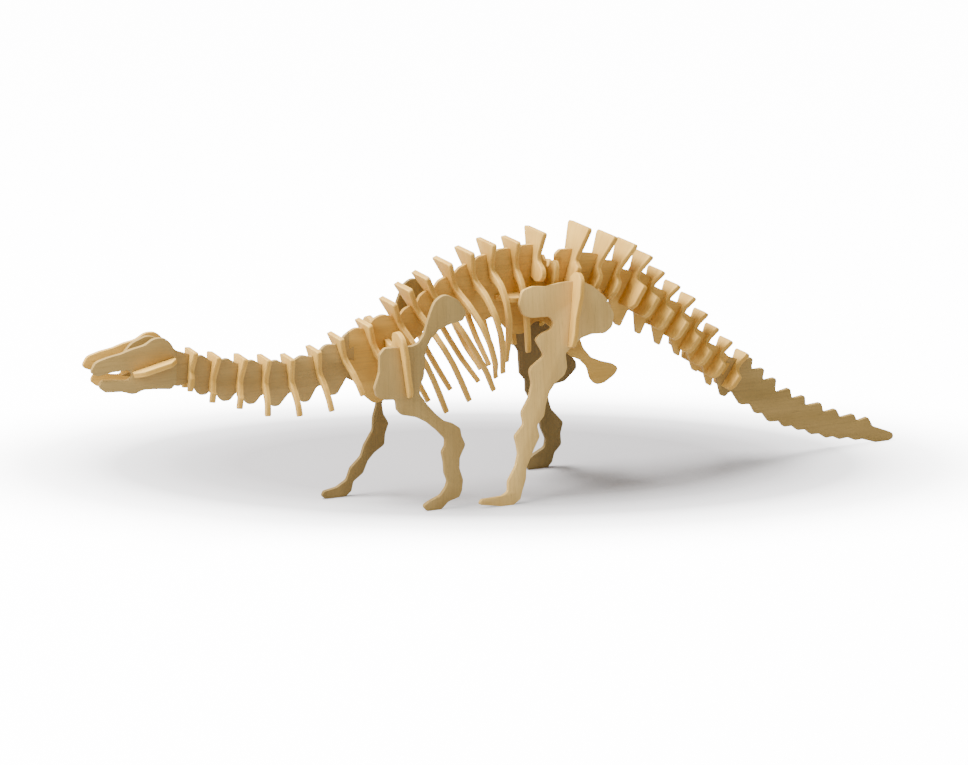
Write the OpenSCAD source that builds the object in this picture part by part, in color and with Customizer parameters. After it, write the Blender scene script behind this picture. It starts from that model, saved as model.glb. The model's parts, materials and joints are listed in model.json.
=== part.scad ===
// Wooden sauropod skeleton: a slotted plywood jigsaw model, every plate its own node.
// Millimetres. Head towards -X, Y to the model's sides, Z up, soles on Z = 0.

/* [Plywood] */
// Plate thickness
ply = 3; // [2:0.1:4]
// Clearance on each side of a slot
clr = 0.06; // [0.04:0.01:0.2]

/* [Stance] */
// Hind leg splay from upright, degrees
splay = 7; // [0:0.5:10]
// Distance of the foreleg plates from the middle
fore_y = 24.5; // [20:0.5:25]
// Distance of the hip bones from the middle, at hip height
hip_y = 18.5; // [17:0.5:20]

/* [Hidden] */
slot = ply + 2 * clr;
shift = -19.63;
wood = [0.89, 0.77, 0.59];
pale = [0.92, 0.81, 0.64];
brown = [0.80, 0.68, 0.50];

// ---- stations: [x, z] of the middle of the top edge, lean (top towards the head), seat depth
NECK = [[-187, 108.3, -8, 11.5], [-173, 104.2, -10, 11.5], [-156.5, 101.4, -9, 11.5],
  [-142, 99.4, -4, 12], [-127.5, 98.3, 4, 12.5], [-111, 101.5, 9, 13], [-97, 108, 18, 14]];
RIB = [[-79, 114.6, 20, 15], [-63.3, 126.2, 25, 16], [-53.3, 134, 27.5, 16],
  [-42, 140.2, 30.5, 16], [-27.6, 147.7, 22.5, 16], [-13.2, 153, 15.5, 16],
  [1.3, 157, 7, 16], [17.6, 156.9, 6, 16], [34.4, 161.4, -6, 19]];
TAIL = [[64.5, 162, -17, 25], [83.2, 154.8, -24, 23], [96.8, 148.8, -26, 22],
  [108.3, 140.3, -30, 17], [117.5, 129.4, -32, 14], [128.8, 119.4, -34, 14],
  [139.9, 110.6, -35, 14], [149, 99.6, -35, 14], [157.2, 89.2, -35, 13.5],
  [167.2, 79.8, -35, 13.5], [179, 70.4, -35, 13.5]];
SHOULDER = [-66, 112, 8, 18];
SACRAL = [43, 143.4, -6, 10];
HIP = [53.2, 137.4, -8, 22];

// ---- rounded outline: list of [x, y, corner radius]
function unit(v) = v / norm(v);
function corner(a, b, c, r) =
  let (u = unit(a - b), w = unit(c - b), half = acos(max(-0.99999, min(0.99999, u * w))) / 2,
       turn = 180 - 2 * half)
  r < 0.05 || turn < 2 ? [b] :
  let (t = min(r / tan(half), 0.48 * min(norm(a - b), norm(c - b))),
       o = b + unit(u + w) * (t / cos(half)), p = b + u * t - o, q = b + w * t - o,
       s = p.x * q.y - p.y * q.x > 0 ? 1 : -1, n = max(1, ceil(turn / 15)))
  [for (k = [0:n]) let (g = s * turn * k / n)
    o + [p.x * cos(g) - p.y * sin(g), p.x * sin(g) + p.y * cos(g)]];
function xy(p) = [p.x, p.y];
function rad(p, r) = len(p) > 2 ? p[2] : r;
function rounded(p, r = 1) = let (n = len(p))
  [for (i = [0:n - 1]) each corner(xy(p[(i + n - 1) % n]), xy(p[i]), xy(p[(i + 1) % n]), rad(p[i], r))];
function mirrored(p) = concat(p, [for (i = [len(p) - 1:-1:0]) [-p[i].x, p[i].y, rad(p[i], 1)]]);

// ---- placing: upright plate along the model, or cross plate at a station
module along(y = 0) translate([0, y, 0]) rotate([90, 0, 0])
  linear_extrude(height = ply, center = true, convexity = 6) children();
module at(s) translate([s[0], 0, s[1]]) rotate([0, -s[2], 0]) children();
module across(s) at(s) rotate([90, 0, 90])
  linear_extrude(height = ply, center = true, convexity = 6) children();
module here() translate([shift, 0, 0]) children();
// slot for a cross plate, from its seat upwards or downwards
module notch_up(s, d, y = 0, wide = 5) at(s) translate([-slot / 2, y - wide, -d]) cube([slot, 2 * wide, 60]);
module notch_down(s, d, y = 0, wide = 5)
  at(s) translate([-slot / 2, y - wide, -d - 60]) cube([slot, 2 * wide, 60]);
// slot in a cross plate for an upright plate at y
module cut_down(s, d, y = 0) at(s) translate([-5, y - slot / 2, -d - 100]) cube([10, slot, 100]);
module cut_up(s, d, y = 0) at(s) translate([-5, y - slot / 2, -d]) cube([10, slot, 100]);

// ---- scalloped edge between two stations: depth below the line of plate tops
function inplane(s, d) = [s[0] + sin(s[2]) * d, s[1] - cos(s[2]) * d];
function mixed(a, b, t, d) = inplane(a, d) * (1 - t) + inplane(b, d) * t;
function edge(st, t, d, r) = [for (i = [0:len(st) - 2]) for (k = [0:len(t) - 1])
  let (p = mixed(st[i], st[i + 1], t[k], d[k])) [p.x, p.y, r]];

NECK_TOP = edge(NECK, [0.22, 0.5, 0.86], [3.2, 1.6, 4.6], 5);
// lobes under the neck get deeper towards the chest: valley, then tip
VALLEY = [[-189, 89.5], [-175.5, 84.5], [-158.5, 82], [-142, 79.5], [-125, 78.5], [-107.5, 81.5]];
TIP = [[-181, 80.6], [-167, 75.4], [-151.5, 71.8], [-136.2, 68.8], [-117, 69.4], [-99.2, 71.8]];
NECK_LOW = [for (i = [0:5]) each [[VALLEY[i].x, VALLEY[i].y, 3.4], [TIP[i].x - 2.6, TIP[i].y, 3.4],
  [TIP[i].x + 2.4, TIP[i].y, 3.4]]];
// bumps along the back, one between each pair of rib plates
RIB_TOP = [[-77, 108.5, 3], [-73.4, 115.6, 6], [-67, 118.2, 7], [-61, 116.4, 3], [-57, 114.6, 2],
  [-53.2, 119.8, 6], [-49.2, 121.6, 2], [-46, 120.6, 2], [-42.4, 127.6, 6], [-38.2, 130, 2],
  [-35, 129, 2], [-30.6, 135.4, 6], [-26, 137.2, 2], [-22, 136.6, 2], [-17, 142.2, 6],
  [-12.2, 144.2, 2], [-9, 143.2, 2], [-4.4, 148, 6], [0.8, 148.9, 2], [3.6, 147, 2], [8.6, 151.2, 6],
  [15.8, 151.4, 2], [19.2, 149, 2], [24.6, 152.4, 6], [31.6, 152.4, 2], [36, 150.6, 2], [37.6, 147, 2]];
TAIL_TOP3 = edge([for (i = [0:3]) TAIL[i]], [0.15, 0.88], [17, 14], 2);
TAIL_TOP = edge([for (i = [3:9]) TAIL[i]], [0.2, 0.85], [10, 7.5], 2);
// spikes under the tail, one between each pair of plates
TAIL_LOW = [[83, 117, 4], [88.4, 96.8, 1.6], [91.4, 95, 1.6], [97.5, 106.5, 3], [101.4, 104, 3],
  [102.6, 90.2, 1.6], [105.4, 88.6, 1.6], [110.4, 98.6, 3], [113.4, 96, 3], [116.4, 82, 1.6],
  [119.2, 80.2, 1.6], [122.6, 89.6, 3], [125.6, 87.4, 3], [130.2, 73.6, 1.6], [133, 71.8, 1.6],
  [134.6, 80, 3], [137.6, 77, 3], [143, 62, 1.6], [146, 60.2, 1.6], [146.4, 67.6, 3], [149.4, 64.8, 3],
  [153.2, 51.8, 1.6], [156, 50, 1.6], [157.4, 57.6, 3]];
// dovetail between the tail plate and the tail end plate, halfway between the last two stations
LAST = [173.2, 75.1, -35];
function off(s, a, d) = [s[0] + sin(s[2]) * d + cos(s[2]) * a, s[1] - cos(s[2]) * d + sin(s[2]) * a];
function tail_joint(c) = [for (p = [[c, 8.4], [c, 13 - c], [3.2 + c, 11.6 - c], [3.2 + c, 20.4 + c],
  [c, 19 + c], [c, 23.6]]) let (q = off(LAST, p.x, p.y)) [q.x, q.y, 0]];
function reversed(p) = [for (i = [len(p) - 1:-1:0]) p[i]];
// dovetail of the back plate into the tail plate, and the ledge under it
function hip_joint(c) = [[46.9 + c, 146.4, 0], [46.9 + c, 141 + c, 0], [50.1 + c, 142.4 + c, 0],
  [50.1 + c, 133.6 - c, 0], [46.9 + c, 135 - c, 0], [46.9 + c, 127.4 + c, 0], [62 + c, 124.4 + c, 0]];

// ---- the spine, four plates in line joined by dovetail tabs
module neck_plate() color(wood) here() difference() {
  along() polygon(rounded(concat(
    [[-233, 98, 2], [-232, 107, 4], [-224, 116, 9], [-214, 120, 8], [-205, 116, 6], [-196, 108.5, 4]],
    NECK_TOP, [[-94, 104.4, 2], [-91.4, 107.6, 3], [-88.6, 109.4, 0], [-88.6, 99, 0], [-85.6, 100.4, 0.3],
      [-85.6, 91.6, 0.3], [-88.6, 93, 0], [-88.6, 84.6, 0]],
    reversed(NECK_LOW),
    [[-192, 88.5, 4], [-197, 87, 5], [-203, 91.4, 3]])));
  for (s = NECK) notch_up(s, s[3]);
  tilted() translate([-20, -5, -slot / 2]) cube([33, 10, slot]);
}
module back_plate() color(wood) here() difference() {
  along() polygon(rounded(concat(
    [[-88.5, 84.6, 0], [-88.5, 92.9, 0], [-85.52, 91.5, 0], [-85.52, 100.5, 0], [-88.5, 99.1, 0],
     [-88.5, 109.5, 0], [-84.6, 111.6, 6], [-80, 110.8, 3]],
    RIB_TOP, [[39, 141.6, 2], [45, 140.5, 2]], [for (i = [1:6]) hip_joint(0)[i]],
    [[62, 108, 8], [63, 93, 8], [66.5, 84, 8], [72, 77.5, 6], [80, 74, 6], [87, 72, 4], [91, 69, 2.5],
     [87.5, 64.5, 5], [81, 60.5, 5], [75, 59.6, 4], [71.6, 64, 5], [69.5, 71.5, 6], [64.5, 76.5, 6],
     [57, 80, 6], [52, 92, 6], [46, 98, 6], [39, 104, 6], [33, 104, 5], [26, 97.5, 4], [18, 97.5, 4], [12, 104, 5],
     [6, 110.5, 5], [-1, 107.5, 4], [-8, 112, 4], [-16, 116, 5], [-24, 114, 5], [-32, 110.5, 5], [-40, 106, 5],
     [-48, 99, 5], [-55, 86, 6], [-60.5, 76, 5], [-64.5, 65.5, 5], [-73, 63.6, 5], [-79, 69, 6],
     [-84.6, 77, 6]])));
  for (s = RIB) notch_up(s, s[3]);
  notch_up(SACRAL, SACRAL[3]);
  notch_down(SHOULDER, SHOULDER[3]);
  notch_down(HIP, HIP[3]);
  translate([6.4, -5, 120.4]) cube([31.2, 10, slot]);
}
module tail_plate() color(brown) here() difference() {
  along() polygon(rounded(concat(
    reversed([for (i = [1:6]) hip_joint(0.08)[i]]), [[47, 145, 3], [50.4, 147.6, 2], [59, 147.2, 2]],
    TAIL_TOP3, TAIL_TOP, tail_joint(0), reversed(TAIL_LOW), [[74, 122.4, 5], [66, 124.6, 3]])));
  for (i = [0:9]) notch_up(TAIL[i], TAIL[i][3]);
}
TOP_END = [[186, 67], [184.5, 58], [194.5, 58.5], [192.5, 50], [203, 51.3], [202, 41], [213, 43.4],
  [214.5, 36], [224, 37.4], [224.5, 30.2], [236, 31.2], [238, 24.4], [247, 25.8], [250.5, 19.6],
  [260.5, 21], [263, 15.8], [271, 17.8], [274.8, 11]];
LOW_END = [[274, 1], [267, 3.3], [262, 3], [256, 5.6], [250, 5], [245, 7.4], [240, 7], [235, 10.4],
  [229, 10.6], [224.5, 14.4], [219, 14.5], [215, 17.8], [209, 17.8], [205.5, 22], [198, 22.4],
  [193.5, 28.4], [188, 29], [184.5, 35.4], [177, 36], [173, 42]];
module tail_end_plate() color(brown) here() difference() {
  along() polygon(rounded(concat(
    reversed(tail_joint(0.08)), [[178.4, 64.6, 2]],
    [for (p = TOP_END) [p.x, p.y, 2]],
    [[281, 8.6, 3], [290, 5, 3], [290.5, 1.5, 2.5], [287, 0, 2], [277, 0, 3]],
    [for (p = LOW_END) [p.x, p.y, 2]], [[170.4, 46, 2], [166, 42.4, 1.6], [163, 43.4, 1.6]])));
  notch_up(TAIL[10], TAIL[10][3]);
}
module pelvis_shelf() color(pale) here() translate([0, 0, 120.4 + clr]) linear_extrude(height = ply)
  difference() {
    polygon(rounded([[6.5, 3.4, 1.5], [9, 9, 4], [12, 14, 5], [19, 15, 3], [37, 15, 3],
      [37, -15, 3], [19, -15, 3], [12, -14, 5], [9, -9, 4], [6.5, -3.4, 1.5]], 2));
    for (k = [-1, 1]) translate([19.1, k > 0 ? 6.9 : -18]) square([4.2, 11.1]);
  }

// ---- cross plates, drawn half and mirrored: [across, up from the top edge, radius]
// the left prong is the long one; the right one stops level with the spine
module neck_cross(i, w, leg, reach) color(wood) here() difference() {
  across(NECK[i]) polygon(rounded(concat([[w, 0, 1.2], [5.4, -12, 3], [5.2, -14.5, 2.5], [6.2, -18.6, 1.5],
    [4.6, -20.4, 1.2], [2.6, -18.6, 1]],
    reversed([for (p = [[w, 0, 1.2], [5.4, -12, 3], [5.2, -14.5, 2.5], [reach * 0.5 + 3.4, -22, 9],
    [reach * 0.86 + 1, -leg + 7, 9], [reach, -leg + 0.8, 1.3], [reach - 3.4, -leg, 1.3],
    [reach * 0.86 - 2.6, -leg + 7, 9], [reach * 0.5 - 0.6, -23, 8], [2.6, -18.6, 2]])
      [-p.x, p.y, p[2]]]))));
  cut_down(NECK[i], NECK[i][3]);
}
module neck_vertebra_1() color(wood) here() difference() {
  across(NECK[0]) polygon(rounded(mirrored([[9, 0, 1.2], [4.9, -10, 3], [4.6, -12, 2.5], [7.4, -16, 2.5],
    [7.6, -21, 2], [6.2, -24, 1.2], [3.6, -24, 1], [3.6, -18, 1], [2.4, -17, 0.8]])));
  cut_down(NECK[0], NECK[0][3]);
}
module neck_vertebra_2() neck_cross(1, 9.5, 28, 9.6);
module neck_vertebra_3() neck_cross(2, 9.5, 30.5, 10.4);
module neck_vertebra_4() neck_cross(3, 9.8, 34, 12.6);
module neck_vertebra_5() neck_cross(4, 9.8, 34.4, 15);
module neck_vertebra_6() neck_cross(5, 10.8, 36.8, 16.4);
module neck_vertebra_7() neck_cross(6, 11.6, 36.8, 17.6);

// rib plate: top half-width, waist depth, outer rib points, tip
module rib_cross(i, w, waist, outer, t = 4) color(pale) here() let (n = len(outer)) difference() {
  across(RIB[i]) polygon(rounded(mirrored(concat(
    [[w, 0, 1.5], [5.6, -waist + 3, 4], [6.2, -waist - 1, 3]],
    [for (p = outer) [p.x, -p.y, 14]],
    [[outer[n - 1].x - 1, -outer[n - 1].y - 3, 1.2], [outer[n - 1].x - 3.4, -outer[n - 1].y - 2.4, 1.2]],
    [for (k = [n - 2:-1:0]) [outer[k].x - t + (k < 2 ? 0.3 : 0), -outer[k].y - (k < 2 ? 2.6 : 0), 12]],
    [[2.8, -waist - 6.5, 3]]))));
  cut_down(RIB[i], RIB[i][3]);
}
module rib_plate_1() rib_cross(0, 12, 16, [[12.6, 24], [16.6, 31], [17, 38]]);
module rib_plate_2() rib_cross(1, 12.4, 17, [[14, 27], [20, 39], [20.6, 52], [18.6, 64], [16, 74]]);
module rib_plate_3() rib_cross(2, 12.8, 17, [[15, 29], [20.5, 40], [22.5, 52], [20.5, 65], [16.5, 78]]);
module rib_plate_4() rib_cross(3, 12.4, 17, [[16.5, 29], [21.6, 39], [22.6, 54], [21, 70], [13.5, 83]]);
module rib_plate_5() rib_cross(4, 13.8, 18, [[18, 27], [26.5, 38], [28.5, 52], [23.5, 67], [13.5, 77]]);
module rib_plate_6() rib_cross(5, 13.6, 18, [[18, 26], [24.8, 37], [26.5, 50], [22, 63], [12.5, 77]]);
module rib_plate_7() rib_cross(6, 13.6, 17, [[17.5, 24], [23, 34], [23.6, 46], [19.5, 59], [12, 72]]);
module rib_plate_8() rib_cross(7, 12.6, 17, [[11.5, 24], [14.2, 32], [14.8, 44], [14, 56], [12.4, 67]], 3.8);
module rib_plate_9() color(pale) here() difference() {
  across(RIB[8]) polygon(rounded(mirrored([[14.4, 0, 1.5], [12.6, -4, 3], [8.6, -14, 5], [9, -18, 4], [16.5, -21.5, 4],
    [18.6, -25.5, 4], [15, -29.6, 4], [9, -30.6, 4], [3, -29, 1]])));
  cut_down(RIB[8], RIB[8][3]);
}

// tail plates: the first three are tall with drop-shaped lobes, the others step out to a block
module drop_cross(i, w, neck, at_d, lobe, low) color(wood) here() difference() {
  across(TAIL[i]) polygon(rounded(mirrored([[w, 0, 2], [neck, -at_d, 4], [neck + 0.4, -at_d - 3, 3],
    [lobe, -at_d - 7, 4], [lobe, -low + 7, 6], [lobe - 4, -low, 4], [3.4, -low, 2]])));
  cut_down(TAIL[i], TAIL[i][3]);
}
module block_cross(i, w, waist, block, low, step = 12) color(wood) here() difference() {
  across(TAIL[i]) polygon(rounded(mirrored([[w, 0, 1.5], [waist, -step + 3, 2.5], [waist + 0.3, -step, 2.5],
    [waist + 4, -step - 2.6, 2], [block, -step - 4.4, 1.8], [block - 0.6, -low + 3.4, 2],
    [block - 4, -low, 2], [3.4, -low, 1.5]])));
  cut_down(TAIL[i], TAIL[i][3]);
}
// the first one narrows early, to stand clear of the hip cross plate
module tail_vertebra_1() color(wood) here() difference() {
  across(TAIL[0]) polygon(rounded(mirrored([[15, 0, 2], [8.4, -20, 4], [8.8, -22, 3], [14.8, -25, 3],
    [14.6, -27.6, 2.4], [10.4, -31, 3], [10, -36, 3], [3.4, -36.5, 2]])));
  cut_down(TAIL[0], TAIL[0][3]);
}
module tail_vertebra_2() drop_cross(1, 13, 6, 19, 13.4, 39);
module tail_vertebra_3() drop_cross(2, 13.4, 5.2, 18.5, 13, 38.4);
module tail_vertebra_4() block_cross(3, 12, 6, 21.5, 35, 14.5);
module tail_vertebra_5() block_cross(4, 10.8, 5.4, 19.5, 31);
module tail_vertebra_6() block_cross(5, 10, 5, 18.5, 30.5);
module tail_vertebra_7() block_cross(6, 9.6, 5, 17.5, 29.5);
module tail_vertebra_8() block_cross(7, 8.8, 4.8, 16, 28, 11.5);
module tail_vertebra_9() block_cross(8, 8.4, 4.6, 15.2, 27, 11);
module tail_vertebra_10() block_cross(9, 8.2, 4.6, 14.4, 26.5, 11);
module tail_vertebra_11() block_cross(10, 8.2, 4.6, 13.6, 26, 11);

// ---- girdles
module shoulder_cross_plate() color(pale) here() difference() {
  across(SHOULDER) polygon(rounded(mirrored([[3, -9, 3], [13, -12, 5], [15.5, -2, 6], [23.5, 0.6, 8],
    [31.5, -3, 7], [33, -14, 6], [31.4, -26, 8], [31.4, -36, 4], [29, -40, 3], [26.6, -40, 3],
    [20, -33, 6], [8, -29, 4]])));
  cut_up(SHOULDER, SHOULDER[3]);
  for (k = [-1, 1]) cut_down(SHOULDER, 17, k * fore_y);
}
module sacral_cross_plate() color(pale) here() difference() {
  across(SACRAL) polygon(rounded(mirrored([[3, -6, 2], [5.4, -2.6, 4], [9.6, 0.6, 5], [13.8, -3, 4],
    [14.2, -12, 3], [13, -17.4, 1.5]])));
  cut_down(SACRAL, SACRAL[3]);
}
module hip_slab(k) intersection() {
  translate([0, k * hip_y, 120]) rotate([k * splay, 0, 0])
    translate([-30, -slot / 2, -80]) cube([160, slot, 120]);
  at(HIP) translate([-20, -60, -18 - 100]) cube([40, 120, 100]);
}
module hip_cross_plate() color(pale) here() difference() {
  across(HIP) polygon(rounded(mirrored([[4, -16, 2], [11, -18, 5], [13.5, -4, 6], [21, 0.6, 8],
    [28.4, -3, 7], [30.4, -14, 8], [28.6, -28, 8], [30, -38, 6], [28.8, -45, 3], [24, -46.5, 3],
    [17, -40, 6], [10, -36, 4]])));
  cut_up(HIP, HIP[3]);
  for (k = [-1, 1]) hip_slab(k);
}
FORE = [[-50.2, 95, 6], [-49.6, 107, 8], [-47.5, 119, 10], [-43.5, 129, 9], [-37, 133.2, 7],
  [-28, 128.5, 8], [-23, 120.5, 3], [-25, 115.6, 3], [-32, 114.6, 6], [-40, 112, 10], [-46, 106.4, 10],
  [-49.6, 99, 10], [-50.4, 84, 8], [-53.6, 77.5, 4], [-53.2, 73.5, 3]];
module foreleg_left() color(pale) here() difference() {
  along(-fore_y) polygon(rounded(concat(
    [[-66, 103.2, 2], [-75.6, 103.8, 3], [-79, 100, 3], [-79.2, 89, 8], [-82.4, 79.6, 4], [-81, 74.4, 3],
     [-76, 72, 4], [-68.8, 71.4, 2.5], [-68.2, 65, 3], [-65.4, 61.8, 3], [-56, 59.4, 8], [-49, 55.4, 10],
     [-42.2, 49.4, 8], [-36.8, 43.4, 2.5], [-37, 39.2, 3], [-39.2, 35.6, 3], [-37.8, 29, 6],
     [-37.4, 22.4, 5], [-35.4, 17, 3], [-36.6, 13.4, 4], [-40, 8.8, 5], [-47.4, 5.8, 3], [-51.6, 3.4, 1.6],
     [-49, 0, 1.4], [-39.5, 0, 2], [-34.8, 4.4, 4], [-27.6, 6.4, 2.4], [-26, 10.4, 3], [-25.2, 17, 3],
     [-27.6, 24.4, 5], [-27.4, 31, 5], [-23.6, 38.8, 3], [-26.2, 44.6, 4], [-27, 49.4, 3],
     [-31.4, 52.6, 4], [-37.4, 54.9, 6], [-43, 60, 8], [-49, 67, 8]],
    [for (i = [len(FORE) - 1:-1:2]) FORE[i]], [[-50.4, 109.6, 8], [-54, 104.6, 5], [-58, 103.2, 3]])));
  notch_up(SHOULDER, 17, -fore_y);
}
// the right foreleg stands a step ahead
module foreleg_right() color(pale) here() difference() {
  along(fore_y) polygon(rounded(concat(
    [[-66, 103.2, 2], [-75.6, 103.8, 3], [-79, 100, 3], [-79.2, 89, 8], [-82.4, 79.6, 4], [-81, 74.4, 3],
     [-76, 72, 4], [-66, 71.4, 3], [-64.4, 64, 4], [-61, 57, 5], [-63.6, 48, 5], [-64, 40, 4],
     [-69.6, 31, 4], [-72, 24, 4], [-78.8, 17.6, 4], [-81.4, 10.4, 4], [-88, 6.4, 4], [-96.4, 4.8, 1.6],
     [-97.8, 2, 1.4], [-95.6, 0, 1.2], [-82, 0, 2], [-78.4, 3, 3], [-77, 9, 3], [-70.6, 13.6, 4],
     [-67.4, 21, 4], [-63.2, 25.6, 5], [-56.4, 30, 3], [-55.8, 37, 4], [-53.4, 43.4, 2.5],
     [-56.8, 49.6, 4], [-57.8, 56, 5], [-55.4, 63, 5], [-52.4, 69, 4]],
    [for (i = [len(FORE) - 1:-1:2]) FORE[i]], [[-50.4, 109.6, 8], [-54, 104.6, 5], [-58, 103.2, 3]])));
  notch_up(SHOULDER, 17, fore_y);
}
// hip bone outline in the leg's own plane, height measured along the plate
BONE = [[24.2, 98, 2], [28, 101, 6], [35, 103.4, 4], [37.4, 107.4, 3],
  [34, 111.2, 3], [22, 111.4, 5], [16.4, 114, 4], [14.4, 120, 5], [17, 128.4, 4], [24, 130.4, 5],
  [33, 129.6, 8], [42, 131, 8], [56, 131.2, 8], [64, 127, 9], [72.4, 119.4, 8], [77.4, 109, 6],
  [76, 101, 5], [70.6, 97.4, 4], [62, 97.8, 6], [55, 96.2, 6]];
module upright(k) translate([0, k * hip_y, 120]) rotate([k * splay, 0, 0]) translate([0, 0, -120])
  rotate([90, 0, 0]) linear_extrude(height = ply, center = true, convexity = 6) children();
module hip_notch(k) at(HIP) translate([-slot / 2, -60, -18]) cube([slot, 120, 60]);
module floor_cut() translate([-200, -100, -50]) cube([500, 200, 50]);
module hind_leg_right() color(brown) here() difference() {
  upright(1) polygon(rounded(concat(BONE,
    [[57, 88, 5], [64, 80, 5], [73.4, 69, 3], [74, 64.4, 3], [66.4, 56.6, 4], [57, 54.8, 3], [55.4, 47, 5],
     [58, 39, 5], [67, 29, 3], [65.6, 21.6, 3], [66.6, 14, 3], [62.2, 8.8, 3], [61, 2.6, 2],
     [57.6, -1.2, 1], [45, -1.2, 1], [42.4, 3.6, 1.5], [47.6, 8.6, 4], [55.4, 13, 3], [55.8, 18.4, 4],
     [52, 26, 6], [50, 36, 6], [44, 45, 4], [40, 52, 4], [39.4, 59.6, 4], [35.2, 64.4, 3],
     [33.4, 79.6, 4], [27.6, 87.4, 3], [30, 93, 3]])));
  hip_notch(1);
  floor_cut();
}
module hind_leg_left() color(pale) here() difference() {
  upright(-1) polygon(rounded(concat(BONE,
    [[50, 92.4, 5], [43.6, 88, 3], [44.2, 79, 4], [42.4, 74.8, 4], [36, 70.4, 5], [31.8, 65.4, 5],
     [28.8, 57.6, 5], [27.4, 51, 4], [22.4, 45.8, 2.5], [23.8, 38.6, 3], [19.6, 31.6, 5], [14, 20.6, 5],
     [13.2, 13.6, 4], [10.4, 6.4, 4], [9, 1.8, 2], [4, -1.2, 1], [-3, -1.2, 1], [-18.6, 1.6, 1.4],
     [-16.4, 4.6, 2], [-3, 5, 4], [1.2, 7, 3], [1.6, 13.6, 4], [7.2, 22.4, 5], [9.2, 29.6, 4],
     [8.6, 35, 4], [7.4, 40.6, 2.5], [13.8, 47.2, 3], [12.6, 54.6, 4], [18.2, 63.4, 6], [20.6, 71.6, 5],
     [19, 80.4, 4], [29.8, 87.8, 2.5]])));
  hip_notch(-1);
  floor_cut();
}

// ---- head
module tilted() translate([-226, 0, 99.8]) rotate([0, -13, 0]) children();
SKULL = [[-252, 102.6, 3], [-248.4, 108.8, 5], [-241, 111, 8], [-233, 112.4, 10], [-226, 114.6, 10],
  [-218.6, 116, 10], [-213, 119.6, 8], [-206, 119.4, 7], [-201.6, 114.4, 6], [-199.4, 106, 6],
  [-200, 91.4, 3], [-203, 88.2, 3], [-211.6, 89.2, 6], [-220, 89.6, 6], [-226, 87.4, 6], [-233, 89.8, 6],
  [-243, 90.4, 3], [-247, 93.6, 2.5], [-245, 97.6, 2], [-236, 96.8, 4], [-229, 96, 3], [-226, 99, 2.4],
  [-228.6, 102.4, 2.4], [-238, 102, 6], [-247, 100.6, 2]];
module skull_side(k) color(wood) here() difference() {
  along(k * 8) polygon(rounded(SKULL));
  tilted() translate([13, -20, -slot / 2]) cube([60, 40, slot]);
}
module skull_left() skull_side(-1);
module skull_right() skull_side(1);
CHEEK = [[4, 5, 2], [0, 7, 1.5], [-0.6, 13.4, 2.5], [5, 17.4, 7], [22, 17.2, 3], [26.4, 12.4, 3]];
module skull_cross_plate() color(wood) here() tilted() translate([0, 0, -ply / 2])
  linear_extrude(height = ply) difference() {
    polygon(rounded(concat(CHEEK, reversed([for (p = CHEEK) [p.x, -p.y, p[2]]]))));
    for (k = [-1, 1]) translate([-10, k * 8 - slot / 2]) square([23, slot]);
    translate([13, -slot / 2]) square([20, slot]);
  }

neck_plate();
back_plate();
tail_plate();
tail_end_plate();
pelvis_shelf();
skull_left();
skull_right();
skull_cross_plate();
neck_vertebra_1();
neck_vertebra_2();
neck_vertebra_3();
neck_vertebra_4();
neck_vertebra_5();
neck_vertebra_6();
neck_vertebra_7();
rib_plate_1();
rib_plate_2();
rib_plate_3();
rib_plate_4();
rib_plate_5();
rib_plate_6();
rib_plate_7();
rib_plate_8();
rib_plate_9();
tail_vertebra_1();
tail_vertebra_2();
tail_vertebra_3();
tail_vertebra_4();
tail_vertebra_5();
tail_vertebra_6();
tail_vertebra_7();
tail_vertebra_8();
tail_vertebra_9();
tail_vertebra_10();
tail_vertebra_11();
shoulder_cross_plate();
sacral_cross_plate();
hip_cross_plate();
foreleg_left();
foreleg_right();
hind_leg_left();
hind_leg_right();
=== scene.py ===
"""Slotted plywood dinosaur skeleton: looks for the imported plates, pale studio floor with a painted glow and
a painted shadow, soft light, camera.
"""

import json
import math
import random

import bmesh
import bpy
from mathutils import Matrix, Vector


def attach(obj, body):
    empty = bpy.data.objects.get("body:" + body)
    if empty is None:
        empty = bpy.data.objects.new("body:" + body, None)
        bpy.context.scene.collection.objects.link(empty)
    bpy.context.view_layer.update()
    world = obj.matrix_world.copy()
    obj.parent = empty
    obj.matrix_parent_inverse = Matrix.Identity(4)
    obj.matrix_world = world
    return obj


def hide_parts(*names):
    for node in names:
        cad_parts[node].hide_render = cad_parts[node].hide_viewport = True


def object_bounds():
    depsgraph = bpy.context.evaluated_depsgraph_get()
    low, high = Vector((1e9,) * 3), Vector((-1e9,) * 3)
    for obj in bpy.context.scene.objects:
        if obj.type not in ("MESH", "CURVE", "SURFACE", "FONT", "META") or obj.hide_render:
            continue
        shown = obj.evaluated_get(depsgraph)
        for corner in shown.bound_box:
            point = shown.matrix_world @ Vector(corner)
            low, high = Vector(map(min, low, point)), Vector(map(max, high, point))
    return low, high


MM = 0.001
PLY = 3.0  # plate thickness, mm
CORE = 0.52  # half of the middle ply, mm
ARRIS = 0.34  # rounding left on the cut edges by tumbling, mm

# camera: on the head side of the model's left, looking a little down
AZIMUTH, ELEVATION = math.radians(24), math.radians(14.5)
DISTANCE = 2.0  # m
LENS = 121.98  # mm, on a 36 mm wide sensor
AIM = Vector((-19.63, 0, 68.8)) * MM

# paper: middle and half-size of the painted shadow patch under the model, m, and strength of the painted glow
# around it
PAINTED_SHADOW_MIDDLE = (0.007, 0.059)
PAINTED_SHADOW_REACH = (0.42, 0.21)
PAINTED_GLOW_STRENGTH = 14.0


# ---------------------------------------------------------------- colours and nodes
def linear(hex_colour, alpha=1.0):
    """An sRGB hex value such as 'E1C192' as a linear RGBA tuple."""
    parts = [int(hex_colour[i : i + 2], 16) / 255 for i in (0, 2, 4)]
    rgb = [c / 12.92 if c <= 0.04045 else ((c + 0.055) / 1.055) ** 2.4 for c in parts]
    return (*rgb, alpha)


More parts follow.
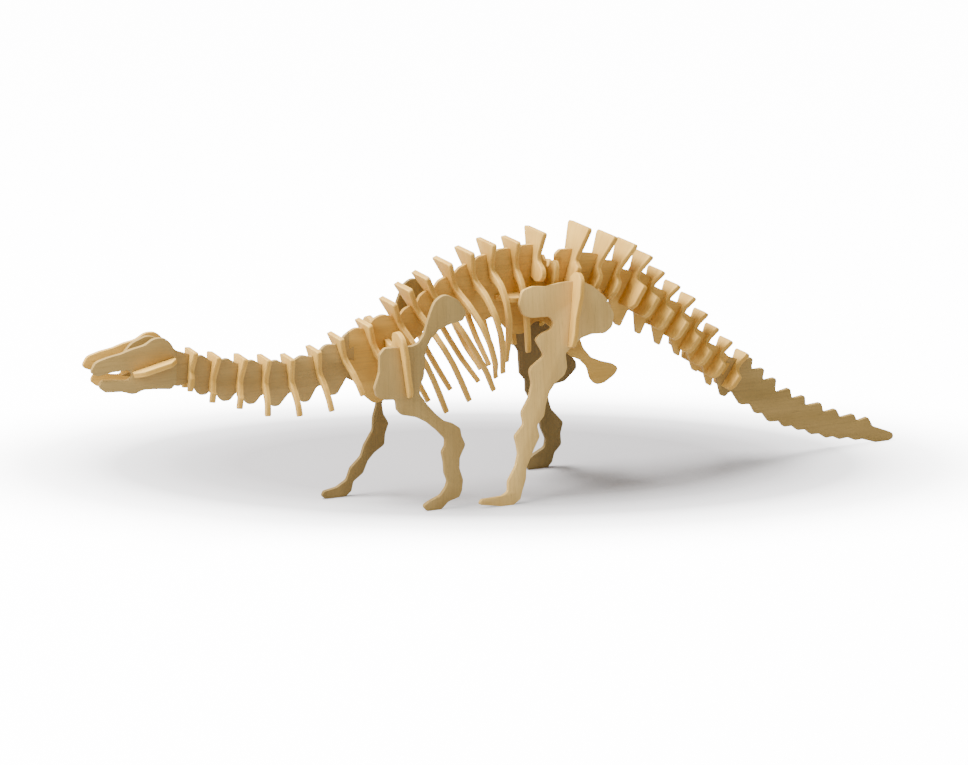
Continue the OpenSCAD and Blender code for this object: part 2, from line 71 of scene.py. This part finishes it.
def add(tree, kind, links=None, **settings):
    """Adds one node: links maps an input's name or number to a socket or a value."""
    made = tree.nodes.new(kind)
    for key, value in settings.items():
        setattr(made, key, value)
    for key, value in (links or {}).items():
        socket = made.inputs[key]
        if isinstance(value, bpy.types.NodeSocket):
            tree.links.new(value, socket)
        else:
            socket.default_value = value
    return made


def ramp_of(tree, factor, stops, interpolation="LINEAR"):
    """A colour ramp with the given (position, linear colour) stops."""
    made = add(tree, "ShaderNodeValToRGB", {"Fac": factor})
    made.color_ramp.interpolation = interpolation
    points = made.color_ramp.elements
    while len(points) < len(stops):
        points.new(0.5)
    for point, (position, colour) in zip(points, stops):
        point.position = position
        point.color = colour
    return made.outputs["Color"]


def grey(value):
    return (value, value, value, 1.0)


def plywood(name, light, dark, core, roughness=0.62):
    """Bare basswood plywood, stamped and tumbled: a close pale face with faint streaks along the grain,
    edges that show the darker end grain of the middle ply between two thin glue lines."""
    material = bpy.data.materials.new(name)
    material.use_nodes = True
    tree = material.node_tree
    tree.nodes.clear()
    place = add(tree, "ShaderNodeAttribute", attribute_name="plate_mm").outputs["Vector"]
    tone_and_painted_shade = add(tree, "ShaderNodeAttribute", attribute_name="plate_tone_and_painted_shade").outputs["Fac"]
    axes = add(tree, "ShaderNodeSeparateXYZ", {"Vector": place}).outputs

    def stretched(along, across, detail, rough=0.5):
        """Noise whose cells are that many millimetres long and wide."""
        scaled = add(
            tree,
            "ShaderNodeVectorMath",
            {0: place, 1: (1 / along, 1 / across, 1 / across)},
            operation="MULTIPLY",
        ).outputs[0]
        return add(
            tree,
            "ShaderNodeTexNoise",
            {"Vector": scaled, "Scale": 1.0, "Detail": detail, "Roughness": rough},
        ).outputs["Fac"]

    def times(a, b):
        return add(
            tree, "ShaderNodeMix", {0: 1.0, 6: a, 7: b}, data_type="RGBA", blend_type="MULTIPLY"
        ).outputs[2]

    broad = stretched(90, 14, 3)
    streaks = stretched(38, 1.5, 4, 0.6)
    # real pores are finer than this: drawn as coarse as they need to show
    pores = stretched(6, 0.55, 2)

    face = ramp_of(tree, broad, [(0.32, linear(dark)), (0.68, linear(light))])
    face = times(face, ramp_of(tree, streaks, [(0.3, grey(0.86)), (0.5, grey(0.97)), (0.7, grey(1.0))]))
    face = times(face, ramp_of(tree, pores, [(0.24, grey(0.8)), (0.4, grey(1.0))]))

    # distance from the middle of the sheet, mm
    depth = add(tree, "ShaderNodeMath", {0: axes[2]}, operation="ABSOLUTE").outputs[0]
    share = add(tree, "ShaderNodeMath", {0: depth, 1: PLY / 2}, operation="DIVIDE").outputs[0]
    glue = CORE / (PLY / 2)
    plies = ramp_of(
        tree,
        share,
        [
            (0.0, linear(core)),
            (glue - 0.05, linear(core)),
            (glue, grey(0.86)),
            (glue + 0.06, grey(0.97)),
            (0.8, grey(1.0)),
        ],
    )
    end_grain = stretched(0.9, 0.7, 2)
    fibre = ramp_of(tree, end_grain, [(0.3, grey(0.88)), (0.65, grey(1.0))])
    cut = times(times(face, plies), fibre)
    on_face = ramp_of(tree, share, [(0.93, grey(0.0)), (0.985, grey(1.0))])
    colour = add(
        tree, "ShaderNodeMix", {0: on_face, 6: cut, 7: face}, data_type="RGBA"
    ).outputs[2]
    # each plate's tone attribute: a random tone from sheet to sheet, times painted shade and painted light
    # from the brightness table
    toned_and_shaded = add(tree, "ShaderNodeCombineColor", {0: tone_and_painted_shade, 1: tone_and_painted_shade, 2: tone_and_painted_shade}).outputs[0]
    colour = times(colour, toned_and_shaded)

    rough = add(
        tree,
        "ShaderNodeMapRange",
        {0: streaks, 3: roughness - 0.06, 4: roughness + 0.08},
    ).outputs[0]
    height = add(tree, "ShaderNodeMath", {0: streaks, 1: pores}, operation="ADD").outputs[0]
    bump = add(
        tree, "ShaderNodeBump", {"Height": height, "Strength": 0.35, "Distance": 0.08 * MM}
    ).outputs["Normal"]
    shader = add(
        tree,
        "ShaderNodeBsdfPrincipled",
        {"Base Color": colour, "Roughness": rough, "Normal": bump, "IOR": 1.5},
    )
    shader.inputs["Specular IOR Level"].default_value = 0.3
    add(tree, "ShaderNodeOutputMaterial", {"Surface": shader.outputs[0]})
    return material


# ---------------------------------------------------------------- plates
def broad_normal(mesh):
    """The normal of the plate's two big faces."""
    widest = {}
    for face in mesh.polygons:
        n = face.normal
        if n[max(range(3), key=lambda i: abs(n[i]))] < 0:
            n = -n
        key = tuple(round(c, 2) for c in n)
        total, _ = widest.get(key, (0.0, n))
        widest[key] = (total + face.area, n.copy())
    return max(widest.values(), key=lambda entry: entry[0])[1].normalized()


def finished_plate(node_name, body, grain, material, tone_and_painted_shade):
    """A copy of a packed plate with clean faces, softened arrises and its own grain coordinates."""
    source = frame["nodes"][node_name]
    normal = broad_normal(source.data)
    bm = bmesh.new()
    bm.from_mesh(source.data)
    bmesh.ops.remove_doubles(bm, verts=bm.verts, dist=0.004 * MM)
    bmesh.ops.dissolve_limit(
        bm, angle_limit=math.radians(1.0), verts=bm.verts, edges=bm.edges, use_dissolve_boundaries=False
    )
    bm.normal_update()

    def is_broad(face):
        return abs(face.normal.dot(normal)) > 0.99

    rims = [
        e
        for e in bm.edges
        if len(e.link_faces) == 2 and is_broad(e.link_faces[0]) != is_broad(e.link_faces[1])
    ]
    bmesh.ops.bevel(
        bm,
        geom=rims,
        offset=ARRIS * MM,
        offset_type="OFFSET",
        affect="EDGES",
        segments=3,
        profile=0.5,
        clamp_overlap=True,
        material=-1,
    )
    bm.normal_update()
    for face in bm.faces:
        face.smooth = not is_broad(face)

    # plate coordinates in mm: along the grain, across it, and through the sheet from its middle
    along = (grain - normal * grain.dot(normal)).normalized()
    across = normal.cross(along)
    through = [v.co.dot(normal) for v in bm.verts]
    middle = (min(through) + max(through)) / 2
    shuffle = random.Random(node_name)
    start = Vector((shuffle.uniform(0, 900), shuffle.uniform(0, 900), 0))
    place = bm.verts.layers.float_vector.new("plate_mm")
    shade = bm.verts.layers.float.new("plate_tone_and_painted_shade")
    for v in bm.verts:
        local = Vector((v.co.dot(along), v.co.dot(across), v.co.dot(normal) - middle)) / MM
        v[place] = local + start
        # painted shade and light from the brightness table, times a random tone per plate
        v[shade] = tone_and_painted_shade * shuffle_tone(node_name)
    mesh = bpy.data.meshes.new(node_name + "_plate")
    bm.to_mesh(mesh)
    bm.free()
    mesh.set_sharp_from_angle(angle=math.radians(40))
    mesh.materials.append(material)
    piece = bpy.data.objects.new(node_name + "_wood", mesh)
    bpy.context.scene.collection.objects.link(piece)
    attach(piece, body)
    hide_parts(node_name)
    return piece


def shuffle_tone(node_name):
    """Small brightness change from one plate to the next, as in pieces pressed from several sheets."""
    return random.Random("tone " + node_name).uniform(0.965, 1.03)


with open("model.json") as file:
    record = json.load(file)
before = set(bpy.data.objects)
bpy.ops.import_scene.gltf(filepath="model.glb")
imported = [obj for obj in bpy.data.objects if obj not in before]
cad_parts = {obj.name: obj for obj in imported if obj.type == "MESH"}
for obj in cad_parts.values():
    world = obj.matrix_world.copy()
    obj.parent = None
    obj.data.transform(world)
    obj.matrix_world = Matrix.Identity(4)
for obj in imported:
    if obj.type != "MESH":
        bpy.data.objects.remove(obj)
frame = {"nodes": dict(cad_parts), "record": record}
cad_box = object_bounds()

WARM = plywood("basswood_plywood_warm", "DDB257", "CFA047", "F7EFD8")
# painted shade: a greyer, darker copy of the warm wood for the near-side plates that face the fill light
GREY_PAINTED_SIDE_SHADE = plywood("basswood_plywood_grey_painted_side_shade", "CDAC66", "BC9A56", "F7EFD8")
# the darker sheet of the tail end plate, and painted shade where it is used on the far legs
BROWN_SHEET_AND_PAINTED_SHADE = plywood("basswood_plywood_brown_sheet_and_painted_shade", "B39454", "A08345", "EFE2C8")

ALONG_MODEL = Vector((1, 0, 0))
UPRIGHT = Vector((0, 0, 1))
SIDEWAYS = Vector((0, 1, 0))
# wood, grain direction and brightness of each plate; the rest are warm with upright grain.
# The brightness holds painted shade for part of the shade that falls on each plate, and painted light on
# hind_leg_left, so it is a choice of looks.
SHEETS = {
    "neck_plate": (GREY_PAINTED_SIDE_SHADE, ALONG_MODEL, 0.72),
    "back_plate": (WARM, ALONG_MODEL, 0.82),
    "tail_plate": (WARM, ALONG_MODEL, 0.93),
    "tail_end_plate": (BROWN_SHEET_AND_PAINTED_SHADE, ALONG_MODEL, 0.9),
    "pelvis_shelf": (WARM, SIDEWAYS, 1.0),
    "skull_left": (GREY_PAINTED_SIDE_SHADE, ALONG_MODEL, 0.7),
    "skull_right": (WARM, ALONG_MODEL, 1.0),
    "skull_cross_plate": (WARM, ALONG_MODEL, 1.0),
    "foreleg_left": (GREY_PAINTED_SIDE_SHADE, UPRIGHT, 0.68),
    "foreleg_right": (BROWN_SHEET_AND_PAINTED_SHADE, UPRIGHT, 0.56),
    "hind_leg_left": (GREY_PAINTED_SIDE_SHADE, UPRIGHT, 1.1),
    "hind_leg_right": (BROWN_SHEET_AND_PAINTED_SHADE, UPRIGHT, 0.48),
}
body_of_node = {n: b for b, nodes in frame["record"]["behaviour"]["bodies"].items() for n in nodes}
for name in sorted(frame["nodes"]):
    wood, grain_direction, brightness_and_painted_shade = SHEETS.get(name, (WARM, UPRIGHT, 1.0))
    finished_plate(name, body_of_node[name], grain_direction, wood, brightness_and_painted_shade)

# ---------------------------------------------------------------- floor, light, camera
low, high = (Vector(c) for c in cad_box)


def floor_paper_with_painted_shadow():
    """Matt white background paper: a painted glow, seen by the camera alone, makes it bright towards its far
    edges and fades out close to the model, which paints the shadow under the model."""
    material = bpy.data.materials.new("white_background_paper_with_painted_shadow")
    material.use_nodes = True
    tree = material.node_tree
    tree.nodes.clear()
    place = add(tree, "ShaderNodeTexCoord").outputs["Object"]
    nearby = add(
        tree,
        "ShaderNodeVectorMath",
        {0: place, 1: (1 / PAINTED_SHADOW_REACH[0], 1 / PAINTED_SHADOW_REACH[1], 1)},
        operation="MULTIPLY",
    ).outputs[0]
    shade = add(
        tree, "ShaderNodeTexGradient", {"Vector": nearby}, gradient_type="QUADRATIC_SPHERE"
    ).outputs["Fac"]
    # painted glow: full strength far from the model, none under it, so the patch under the model is a painted
    # shadow
    painted_glow = ramp_of(
        tree,
        shade,
        [(0.0, grey(1.0)), (0.1, grey(0.4)), (0.2, grey(0.1)), (0.3, grey(0.03)), (0.4, grey(0.0))],
    )
    seen = add(tree, "ShaderNodeLightPath").outputs["Is Camera Ray"]
    power = add(tree, "ShaderNodeMath", {0: seen, 1: PAINTED_GLOW_STRENGTH}, operation="MULTIPLY").outputs[0]
    shader = add(
        tree,
        "ShaderNodeBsdfPrincipled",
        {
            "Base Color": linear("A9A7A8"),
            "Roughness": 0.95,
            "Emission Color": painted_glow,
            "Emission Strength": power,
        },
    )
    shader.inputs["Specular IOR Level"].default_value = 0.0
    add(tree, "ShaderNodeOutputMaterial", {"Surface": shader.outputs[0]})
    return material


floor_mesh = bpy.data.meshes.new("floor")
bm = bmesh.new()
bmesh.ops.create_grid(bm, x_segments=1, y_segments=1, size=9.0)
bm.to_mesh(floor_mesh)
bm.free()
floor_mesh.materials.append(floor_paper_with_painted_shadow())
floor = bpy.data.objects.new("floor", floor_mesh)
floor.location = (*PAINTED_SHADOW_MIDDLE, low.z - 0.05 * MM)
floor.rotation_euler.z = -AZIMUTH
bpy.context.scene.collection.objects.link(floor)


def aimed(obj, place, target):
    obj.location = place
    obj.rotation_euler = (target - place).to_track_quat("-Z", "Y").to_euler()
    bpy.context.scene.collection.objects.link(obj)


def softbox(name, place, target, width, height, power, colour):
    """A rectangular area light aimed at the target."""
    light = bpy.data.lights.new(name, "AREA")
    light.shape = "RECTANGLE"
    light.size, light.size_y = width, height
    light.energy = power
    light.color = linear(colour)[:3]
    aimed(bpy.data.objects.new(name, light), place, target)


centre = Vector(((low.x + high.x) / 2, 0, (low.z + high.z) / 2))
# name, place (m), width and height (m), power (W), colour
SOFTBOXES = [
    ("overhead_softbox", (-0.5, 0.3, 1.6), 0.8, 0.7, 96, "FFFFFF"),
    ("head_side_softbox", (-1.6, -0.25, 0.9), 0.8, 0.8, 40, "FFFAF2"),
    ("front_fill", (0.1, -1.7, 1.3), 1.0, 0.8, 9, "FFFFFF"),
]
for name, place, width, height, power, colour in SOFTBOXES:
    softbox(name, Vector(place), centre, width, height, power, colour)

world = bpy.data.worlds.new("studio")
world.use_nodes = True
world.node_tree.nodes["Background"].inputs["Color"].default_value = linear("FFFFFF")
world.node_tree.nodes["Background"].inputs["Strength"].default_value = 0.4
bpy.context.scene.world = world

toward = Vector(
    (
        math.sin(AZIMUTH) * math.cos(ELEVATION),
        math.cos(AZIMUTH) * math.cos(ELEVATION),
        -math.sin(ELEVATION),
    )
)
camera_data = bpy.data.cameras.new("camera")
camera_data.sensor_width = 36
camera_data.lens = LENS
camera_data.clip_end = 30
camera = bpy.data.objects.new("camera", camera_data)
aimed(camera, AIM - toward * DISTANCE, AIM)
bpy.context.scene.camera = camera
